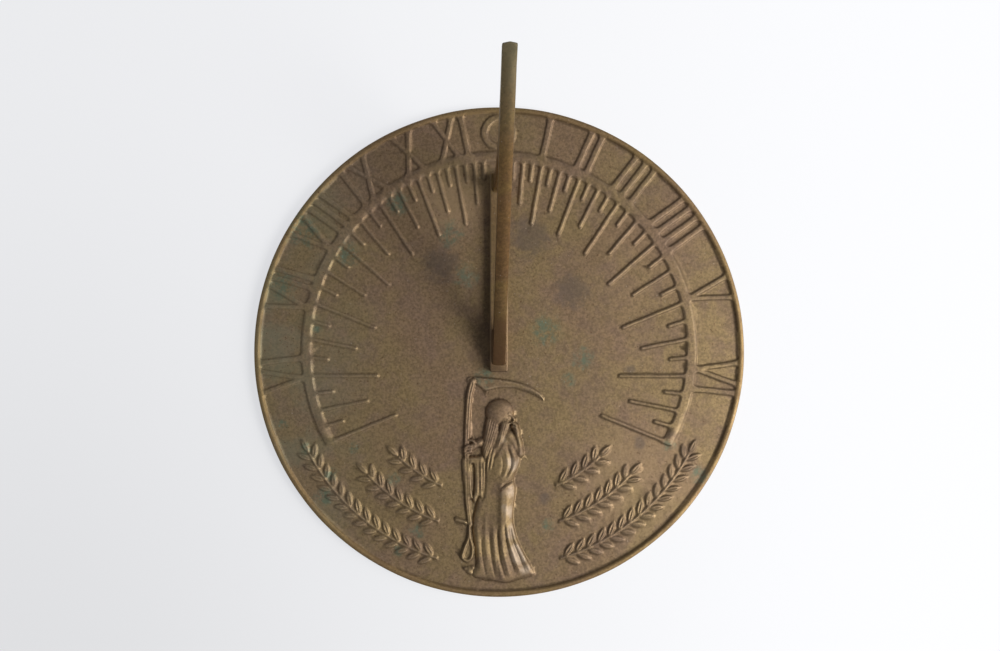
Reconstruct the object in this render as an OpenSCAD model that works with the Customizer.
/* [Plate] */
// Outside diameter of the dial plate
plate_d = 254; // [250:1:290]
// Thickness of the plate from its flat back to its face
plate_t = 4.8; // [4.4:0.1:8]
// Width of the raised rim round the edge
rim_w = 3.2; // [2:0.1:5]
// Height of the rim above the face
rim_h = 1.4; // [0.6:0.1:2.5]
// Bevel on the outer edges of the plate
edge_bevel = 0.5; // [0.2:0.1:1]

/* [Hour scale] */
// Latitude that the dial is laid out for, in degrees
latitude = 41; // [36:0.5:43]
// Distance south of the dial's centre at which the hour lines meet
meet_s = 12.1; // [8:0.1:14]
// Height of the ring, hour lines and numerals above the face
mark_h = 1.1; // [0.5:0.1:1.8]
// Inside radius of the raised hour ring
ring_r = 97.3; // [94:0.1:99]
// Width of the hour ring
ring_w = 5.2; // [3:0.1:7]
// Distance of the hour ring's centre north of the dial's centre
ring_n = 1.5; // [0:0.1:3]
// Width of an hour line
line_w = 2; // [1.2:0.1:2.6]
// Radius of the circle on which the hour lines end
hour_r = 65.1; // [60:0.1:72]
// Radius of the circle on which the half-hour lines end
half_r = 74.3; // [70:0.1:84]
// Radius of the circle on which the quarter-hour lines end
quarter_r = 89.1; // [86:0.1:93]
// Distance of the hour and half-hour circles' centre north of the dial's centre
ends_n = 4.1; // [0:0.1:6]

/* [Numerals] */
// Width of an upright stroke
stroke_w = 3; // [2:0.1:4]
// Width of a slanted stroke
slant_w = 2.6; // [1.6:0.1:3.4]
// Space between strokes in a numeral of I strokes alone
plain_gap = 2.8; // [2:0.1:3.4]
// Space between letters in a numeral that has a V or an X
mixed_gap = 1.8; // [1.2:0.1:2.6]
// Width of a V across its tips
v_w = 14; // [10:0.1:15]
// Width of an X across its tips
x_w = 12.5; // [9:0.1:14]
// Outside diameter of the ring that marks noon
noon_d = 18.4; // [12:0.1:18.6]
// Width of the noon ring's band
noon_w = 3.6; // [2:0.1:5]

/* [Leaf sprays] */
// Radius of the inner spray's stem about the dial's centre
spray_in_r = 75; // [72:0.1:78]
// Radius of the middle spray's stem
spray_mid_r = 93; // [90:0.1:95]
// Radius of the outer spray's stem
spray_out_r = 111.5; // [109:0.1:113]
// Angles from south at which the inner spray starts and ends
spray_in_from = 23; // [20:0.5:26]
spray_in_to = 44; // [36:0.5:50]
// Angles from south at which the middle spray starts and ends
spray_mid_from = 19.5; // [17:0.5:24]
spray_mid_to = 47; // [36:0.5:52]
// Angles from south at which the outer spray starts and ends
spray_out_from = 16.5; // [14:0.5:20]
spray_out_to = 62; // [50:0.5:64]
// Width of a stem
stem_w = 1.5; // [0.8:0.1:2.2]
// Length of a leaf
leaf_l = 8.6; // [5:0.1:9.4]
// Width of a leaf
leaf_w = 3.2; // [1.6:0.1:3.8]
// Distance from one pair of leaves to the next
leaf_pitch = 6; // [5:0.1:9]
// Angle of a leaf from its stem, in degrees
leaf_lean = 38; // [25:1:50]
// Height of the sprays above the face
spray_h = 1; // [0.5:0.1:1.8]

/* [Figure] */
// Height of the figure's fullest parts above the face
figure_h = 3.6; // [2:0.1:5]
// Step of the figure's surface, across and down
figure_step = 1.6; // [1.4:0.1:3]

/* [Gnomon] */
// Thickness of the gnomon's bars, which is also the width of the noon gap
style_t = 6.2; // [5.6:0.1:7.4]
// Length of the style from the meeting point of the hour lines to the tip
style_l = 180; // [165:0.5:183]
// Depth of the style's bar, square to its slope
style_d = 7; // [5.5:0.1:9]
// Height of the blunt end at the tip
nose_h = 6; // [3:0.1:10]
// Depth of the hollow in the gnomon's back edge
back_sag = 15; // [10:0.5:18]
// Width of the back bar
back_w = 6.6; // [6:0.1:9]
// Radius of the corners of the opening between the bars
corner_r = 4; // [2:0.1:6]
// Width of the foot
foot_w = 9.3; // [8.6:0.1:11]
// Thickness of the foot
foot_t = 4.8; // [4:0.1:6]
// Southern end of the foot, measured south from the dial's centre
foot_s = 9.9; // [8:0.1:11]
// Northern end of the foot, measured north from the dial's centre
foot_n = 92.5; // [88:0.1:95]
// Step from the foot's northern end to the back bar
heel_in = 0.6; // [0.4:0.1:1.2]

/* [Screws] */
// Outside diameter of the thread
screw_d = 3.5; // [3:0.1:4]
// Diameter of the countersunk head
head_d = 6.9; // [6:0.1:8]
// Straight edge of the head
head_edge = 0.2; // [0.1:0.05:0.4]
// Included angle of the head's cone, in degrees
head_angle = 82; // [80:1:100]
// Length of a screw with its head
screw_l = 12.7; // [10:0.1:14]
// Depth of the screws' heads below the plate's back
head_sink = 0.3; // [0.1:0.1:0.6]
// Width of the slot in a screw's head
slot_w = 0.9; // [0.5:0.1:1.2]
// Depth of the slot
slot_d = 0.8; // [0.5:0.1:1]
// Distance of the southern screw from the foot's southern end
screw_a_in = 15; // [14:0.1:16.5]
// Distance of the northern screw from the back bar's outer edge, at the foot
screw_b_in = 3.9; // [3.7:0.1:4.2]
// Clearance round a screw in the plate and under its head
plate_clear = 0.15; // [0.1:0.05:0.3]
// Clearance round the thread in the gnomon
thread_clear = 0.05; // [0.02:0.01:0.1]
// Space left past a screw's end in its hole
hole_spare = 2; // [1:0.1:4]

/* [Hidden] */
$fn = 96;
bronze = "#7d6a4a";
bronze_light = "#8b7650";
brass = "#a98d54";
// Depth by which raised work reaches into what carries it
root = 0.6;
// Depth by which numerals run into the ring and the rim
bite = 0.6;
// Share of a step from a stem's start to its first pair of leaves
first_pair = 0.4;
// Length by which a cut starts outside the surface that it goes into
over = 1;
// Length by which a round corner reaches past the sides that it joins
blend = 0.02;
// Depth to which the lower corners of the gnomon's opening dip into its foot
dip = 0.4;
plate_r = plate_d / 2;
rim_r = plate_r - rim_w;
ring_out_r = ring_r + ring_w;
rim_slope = rim_h / 3;
hours_lined = 7;
lines_an_hour = 4;
afternoon = ["I", "II", "III", "IIII", "V", "VI"];
morning = ["XI", "X", "IX", "VIII", "VII", "VI"];
gap_half = style_t / 2;
numeral_mid_r = (ring_out_r + rim_r) / 2;
numeral_foot_r = ring_out_r - bite;
numeral_tall = rim_r + bite - numeral_foot_r;
head_cone = (head_d - screw_d) / 2 / tan(head_angle / 2);
head_h = head_edge + head_cone;
tip_n = style_l * cos(latitude) - meet_s;
tip_h = style_l * sin(latitude);
toe_n = (foot_t - root) / tan(latitude) - meet_s;
heel_n = foot_n - heel_in;
screw_a_n = screw_a_in - foot_s;
screw_b_n = heel_n - screw_b_in;

// Gnomon in side view: north along x, its foot's underside at height 0
along_style = [cos(latitude), sin(latitude)];
off_style = [-sin(latitude), cos(latitude)];
heel = [heel_n, foot_t];
nose = [tip_n, tip_h - nose_h];
chord = norm(nose - heel);
lean = atan2(nose[1] - heel[1], nose[0] - heel[0]);
back_r = chord * chord / (8 * back_sag) + back_sag / 2;
back_at = (heel + nose) / 2 + (back_sag - back_r) * [-sin(lean), cos(lean)];
inner_r = back_r + back_w;
// Centres of the opening's round corners, at the toe, the heel and the top
corner_in = corner_r - blend;
corner_drop = (style_d + corner_in) / cos(latitude);
corner_z = foot_t + corner_r - dip;
toe_corner = [(corner_z + corner_drop) / tan(latitude) - meet_s, corner_z];
heel_corner = [back_at[0] - sqrt(pow(inner_r + corner_in, 2) - pow(corner_z - back_at[1], 2)), corner_z];
from_back = toe_corner - back_at;
top_corner = toe_corner + along_style * (-from_back * along_style
    - sqrt(pow(from_back * along_style, 2) - from_back * from_back + pow(inner_r + corner_in, 2)));

// Angle of the hour line for h hours from noon, measured from north
function hour_angle(h) = atan2(sin(latitude) * sin(15 * h), cos(15 * h));

// Distance along a line at angle a from its root, at side x of the meeting point,
// to a circle of radius r centred n north of the dial's centre
function reach(a, x, r, n) =
    let (px = x, py = -meet_s - n, b = px * sin(a) + py * cos(a))
    -b + sqrt(b * b - px * px - py * py + r * r);

// Point on the dial where an hour line crosses a circle about the dial's centre
function on_line(h, r) =
    let (a = hour_angle(h), s = reach(a, gap_half, r, 0))
    [gap_half + s * sin(a), -meet_s + s * cos(a)];

function end_r(k) = k % lines_an_hour == 0 ? hour_r : (k % 2 == 0 ? half_r : quarter_r);
function end_n(k) = k % 2 == 0 ? ends_n : ring_n;

function letter_w(c) = c == "I" ? stroke_w : (c == "V" ? v_w : x_w);
function mixed(word) = len([for (c = word) if (c != "I") c]) > 0;
function letter_gap(word) = mixed(word) ? mixed_gap : plain_gap;
function start_x(word, i) =
    i == 0 ? 0 : start_x(word, i - 1) + letter_w(word[i - 1]) + letter_gap(word);
function word_w(word) = start_x(word, len(word) - 1) + letter_w(word[len(word) - 1]);

// Strokes of the figure: start x, y and half width, end x, y and half width, and
// fullness from 0 to 1, in millimetres from the dial's centre
figure_strokes = [
    // Scythe: blade and its heel
    [-13.6, -14.8, 2, 0.9, -16.2, 2, 0.4], [0.9, -16.2, 2, 8, -16.9, 1.6, 0.4],
    [8, -16.9, 1.6, 17.7, -20.1, 1.2, 0.4], [17.7, -20.1, 1.2, 22.6, -23.6, 0.8, 0.4],
    [-10, -17.2, 2, -5, -17.8, 1.6, 0.4],
    // Shaft with its peg and its swollen end
    [-13.5, -15.4, 1.7, -15.7, -25.4, 1.7, 0.5], [-15.7, -25.4, 1.7, -16.6, -51, 1.7, 0.5],
    [-16.6, -51, 1.7, -16.2, -72, 1.7, 0.5], [-16.2, -72, 1.7, -14.7, -89.5, 1.3, 0.5],
    [-21.8, -86.6, 1.1, -15.3, -88.9, 1.1, 0.45],
    [-14.7, -89.5, 1.3, -15.3, -99.5, 2.3, 0.55], [-15.3, -99.5, 2.3, -16.3, -105, 3.8, 0.55],
    // Head, long hair down the back, and beard
    [0.2, -31.6, 6.9, 1.6, -31, 6.6, 0.95], [-3.4, -36.5, 4.2, -5.4, -46, 4.6, 0.75],
    [3.4, -37.4, 3.4, -1.6, -50, 2.4, 1],
    // Chest, narrowing to the waist
    [-0.8, -44, 7.2, 0.8, -55, 9.4, 0.85], [0.8, -55, 9.4, 0.8, -66, 7.6, 0.85],
    // Bent arm with the hand under the chin
    [6, -45, 3.6, 10.6, -53.4, 2.6, 0.85], [10.6, -53.2, 2.2, 8.6, -38.4, 2, 0.9],
    // Reaching arm and its hand on the shaft
    [-5, -44, 4.4, -9.4, -47.6, 3, 0.8], [-9.4, -47, 2.4, -15.6, -51.6, 2.2, 0.8],
    [-16.4, -50.2, 2.2, -16, -54, 2.2, 0.8],
    // Hanging sleeve and its two ends
    [-12.4, -58, 5, -12.2, -71, 5, 0.65], [-12.8, -73, 2.6, -12.9, -77.2, 1.3, 0.6],
    [-9.2, -70, 2.2, -8.8, -75.2, 1.5, 0.65],
    // Robe, its train and three folds
    [0.6, -68, 7.8, -2.6, -86, 10.4, 0.85], [-2.6, -86, 10.4, -0.4, -103.5, 12.2, 0.85],
    [-1, -106, 11, 5, -107.2, 10.8, 0.8], [4, -92, 5, 13, -109.5, 4.8, 0.8],
    [-2.7, -90, 1.4, 4.4, -116.5, 1.4, 1], [1.9, -86, 1.4, 10, -115, 1.4, 1],
    [5.6, -78, 1.4, 15.8, -112.6, 1.4, 1],
    // Ground under the robe
    [-15, -111.6, 2.4, 0, -115.8, 2.6, 0.4],
];
figure_box = [-25, -120, 27, -11.5];
figure_cols = ceil((figure_box[2] - figure_box[0]) / figure_step);
figure_rows = ceil((figure_box[3] - figure_box[1]) / figure_step);
figure_floor = -0.5;

// Height over the face that one stroke gives to a point, or the sunk floor outside it
function stroke_z(p, s) =
    let (
        a = [s[0], s[1]], b = [s[3], s[4]], ab = b - a,
        t = max(0, min(1, (p - a) * ab / (ab * ab))),
        r = s[2] + (s[5] - s[2]) * t,
        d = norm(p - a - ab * t) / r
    )
    d < 1 ? figure_h * s[6] * pow(1 - d * d, 0.45) : figure_floor;

function figure_xy(i, j) = [
    figure_box[0] + (figure_box[2] - figure_box[0]) * i / figure_cols,
    figure_box[1] + (figure_box[3] - figure_box[1]) * j / figure_rows
];
function figure_z(p) = max([for (s = figure_strokes) stroke_z(p, s)]);

// A flat outline as relief of height h on the plate's face
module raised(h) {
    translate([0, 0, plate_t - root]) linear_extrude(root + h) children();
}

// Straight stroke of width w from p to q
module bar(p, q, w) {
    d = q - p;
    translate(p) rotate(atan2(d[1], d[0])) translate([0, -w / 2]) square([norm(d), w]);
}

module letter(c) {
    if (c == "I") square([stroke_w, numeral_tall]);
    if (c == "V") for (top_x = [slant_w / 2, v_w - slant_w / 2])
        bar([v_w / 2, 0], [top_x, numeral_tall], slant_w);
    if (c == "X") for (top_x = [slant_w / 2, x_w - slant_w / 2])
        bar([x_w - top_x, 0], [top_x, numeral_tall], slant_w);
}

// A numeral whose middle stands on the line of h hours from noon, its top to the rim,
// east of north where side is 1 and west where it is -1
module numeral(word, h, side) {
    mid = on_line(h, numeral_mid_r);
    rotate(-side * atan2(mid[0], mid[1])) translate([-word_w(word) / 2, numeral_foot_r])
        for (i = [0:len(word) - 1]) translate([start_x(word, i), 0]) letter(word[i]);
}

module numerals() {
    for (h = [1:len(afternoon)]) {
        numeral(afternoon[h - 1], h, 1);
        numeral(morning[h - 1], h, -1);
    }
}

module noon_mark() {
    translate([0, (rim_r + ring_out_r + ring_n) / 2]) difference() {
        circle(d = noon_d);
        circle(d = noon_d - 2 * noon_w);
    }
}

module hour_ring() {
    last = hour_angle(hours_lined);
    difference() {
        translate([0, ring_n]) circle(r = ring_out_r);
        translate([0, ring_n]) circle(r = ring_r);
        polygon(concat([[0, -meet_s]], [for (s = [1, -1])
            [s * (gap_half + plate_d * sin(last)), -meet_s + plate_d * cos(last)]]));
    }
}

module hour_lines() {
    for (k = [1:hours_lined * lines_an_hour], side = [0, 1]) {
        a = hour_angle(k / lines_an_hour);
        start = reach(a, gap_half, end_r(k), end_n(k));
        end = reach(a, gap_half, ring_r + ring_w / 2, ring_n);
        mirror([side, 0]) translate([gap_half, -meet_s]) rotate(-a) {
            translate([-line_w / 2, start]) square([line_w, end - start]);
            translate([0, start]) circle(d = line_w);
        }
    }
}

module dial_marks() {
    raised(mark_h) {
        hour_ring();
        hour_lines();
        noon_mark();
        numerals();
    }
}

// A pointed leaf from its base at the origin along x
module leaf() {
    bow = (leaf_l * leaf_l + leaf_w * leaf_w) / (4 * leaf_w);
    translate([leaf_l / 2, 0]) intersection() {
        translate([0, bow - leaf_w / 2]) circle(r = bow);
        translate([0, leaf_w / 2 - bow]) circle(r = bow);
    }
}

// A stem along the arc of radius r between two angles from south, with leaves in pairs
module spray(r, from, to) {
    pairs = floor((to - from) * PI / 180 * r / leaf_pitch);
    step = (to - from) / pairs;
    intersection() {
        difference() {
            circle(r = r + stem_w / 2);
            circle(r = r - stem_w / 2);
        }
        polygon([[0, 0], for (a = [from:(to - from) / 4:to + 0.01])
            2 * r * [sin(a), -cos(a)]]);
    }
    for (i = [0:pairs - 1], side = [-1, 1]) rotate(from + (i + first_pair) * step - 90)
        translate([r - side * stem_w / 4, 0]) rotate(90 + side * leaf_lean) leaf();
    rotate(to - 90) translate([r, -stem_w / 2]) rotate(90) leaf();
}

module sprays() {
    for (side = [0, 1]) mirror([side, 0, 0]) {
        raised(spray_h) spray(spray_in_r, spray_in_from, spray_in_to);
        raised(spray_h) spray(spray_mid_r, spray_mid_from, spray_mid_to);
        raised(spray_h) spray(spray_out_r, spray_out_from, spray_out_to);
    }
}

// The standing figure with a scythe, as one surface over a fine square mesh
module figure() {
    cols = figure_cols + 1;
    rows = figure_rows + 1;
    count = cols * rows;
    top = [for (j = [0:rows - 1], i = [0:cols - 1])
        let (p = figure_xy(i, j)) [p[0], p[1], figure_z(p)]];
    around = concat(
        [for (i = [0:cols - 2]) i],
        [for (j = [0:rows - 2]) j * cols + cols - 1],
        [for (i = [cols - 1:-1:1]) (rows - 1) * cols + i],
        [for (j = [rows - 1:-1:1]) j * cols]
    );
    turns = len(around);
    under = [for (k = around) [top[k][0], top[k][1], 2 * figure_floor]];
    middle = [for (axis = [0, 1]) (figure_box[axis] + figure_box[axis + 2]) / 2];
    cells = [for (j = [0:rows - 2], i = [0:cols - 2]) j * cols + i];
    translate([0, 0, plate_t]) polyhedron(
        points = concat(top, under, [[middle[0], middle[1], 2 * figure_floor]]),
        faces = concat(
            [for (k = cells) [k, k + cols, k + 1]],
            [for (k = cells) [k + 1, k + cols, k + cols + 1]],
            [for (m = [0:turns - 1]) [around[m], around[(m + 1) % turns], count + m]],
            [for (m = [0:turns - 1])
                [around[(m + 1) % turns], count + (m + 1) % turns, count + m]],
            [for (m = [0:turns - 1]) [count + turns, count + m, count + (m + 1) % turns]]
        )
    );
}

module plate_body() {
    rotate_extrude() polygon([
        [0, 0], [plate_r - edge_bevel, 0], [plate_r, edge_bevel],
        [plate_r, plate_t + rim_h - edge_bevel], [plate_r - edge_bevel, plate_t + rim_h],
        [rim_r + rim_slope, plate_t + rim_h], [rim_r, plate_t], [0, plate_t]
    ]);
}

// Hole and countersink for one screw, from the plate's back
module screw_hole() {
    mouth_d = head_d + 2 * plate_clear;
    hole_d = screw_d + 2 * plate_clear;
    edge = head_sink + head_edge;
    translate([0, 0, -over]) cylinder(d = hole_d, h = plate_t + 2 * over);
    translate([0, 0, -over]) cylinder(d = mouth_d, h = over + edge);
    translate([0, 0, edge]) cylinder(d1 = mouth_d, d2 = hole_d, h = head_cone);
}

module dial_plate() {
    color(bronze) difference() {
        union() {
            plate_body();
            dial_marks();
            sprays();
            figure();
        }
        for (n = [screw_a_n, screw_b_n]) translate([0, n, 0]) screw_hole();
    }
}

// Point of a round corner of the opening that is nearest to the back bar
function on_back(corner) = corner + corner_r * (back_at - corner) / norm(back_at - corner);

module opening() {
    for (corner = [toe_corner, heel_corner, top_corner]) translate(corner) circle(r = corner_r);
    difference() {
        polygon([
            toe_corner, toe_corner - [0, corner_in], heel_corner - [0, corner_in], heel_corner,
            on_back(heel_corner), on_back(top_corner), top_corner,
            top_corner + corner_in * off_style, toe_corner + corner_in * off_style
        ]);
        translate(back_at) circle(r = inner_r);
    }
}

// The style's bar, the back bar and the web at the toe, in side view
module bars() {
    difference() {
        polygon([[toe_n, foot_t - root], [tip_n, foot_t - root], [tip_n, tip_h]]);
        translate(back_at) circle(r = back_r);
        opening();
    }
}

module gnomon() {
    depth = screw_l + head_sink - plate_t + hole_spare;
    color(bronze_light) translate([0, 0, plate_t]) difference() {
        union() {
            translate([-foot_w / 2, -foot_s, 0]) cube([foot_w, foot_s + foot_n, foot_t]);
            rotate([90, 0, 90]) linear_extrude(style_t, center = true) bars();
        }
        for (n = [screw_a_n, screw_b_n]) translate([0, n, -over])
            cylinder(d = screw_d + 2 * thread_clear, h = depth + over);
    }
}

// Countersunk slotted screw, head down, its head's face at height 0
module screw() {
    difference() {
        union() {
            cylinder(d = head_d, h = head_edge);
            translate([0, 0, head_edge]) cylinder(d1 = head_d, d2 = screw_d, h = head_cone);
            translate([0, 0, head_h]) cylinder(d = screw_d, h = screw_l - head_h);
        }
        translate([-head_d, -slot_w / 2, -over]) cube([2 * head_d, slot_w, slot_d + over]);
    }
}

module gnomon_screw_south() {
    color(brass) translate([0, screw_a_n, head_sink]) screw();
}

module gnomon_screw_north() {
    color(brass) translate([0, screw_b_n, head_sink]) screw();
}

dial_plate();
gnomon();
gnomon_screw_south();
gnomon_screw_north();
